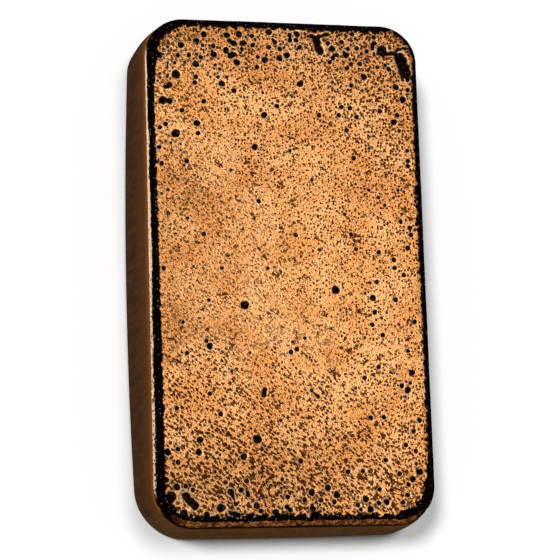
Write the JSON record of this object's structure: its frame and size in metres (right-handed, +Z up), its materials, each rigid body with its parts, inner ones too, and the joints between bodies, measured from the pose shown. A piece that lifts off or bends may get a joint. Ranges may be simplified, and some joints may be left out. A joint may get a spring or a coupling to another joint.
{
  "type": "copper ingot",
  "caption": "Solid cast copper ingot: a rounded block with leaning walls, a rounded shoulder and a flat gas-pitted face, lying flat as raw stock.",
  "frame": {"origin": "middle of the underside, at the level it rests on", "axes": "+Z up out of the pitted face, +Y along the length, +X across the width"},
  "size_m": [0.0594, 0.1022, 0.0197],
  "materials": {
    "copper": "as cast: bright pitted face, dark brown oxide on the walls and in the pits"
  },
  "bodies": {
    "root": {"ingot": "copper"}
  },
  "joints": []
}
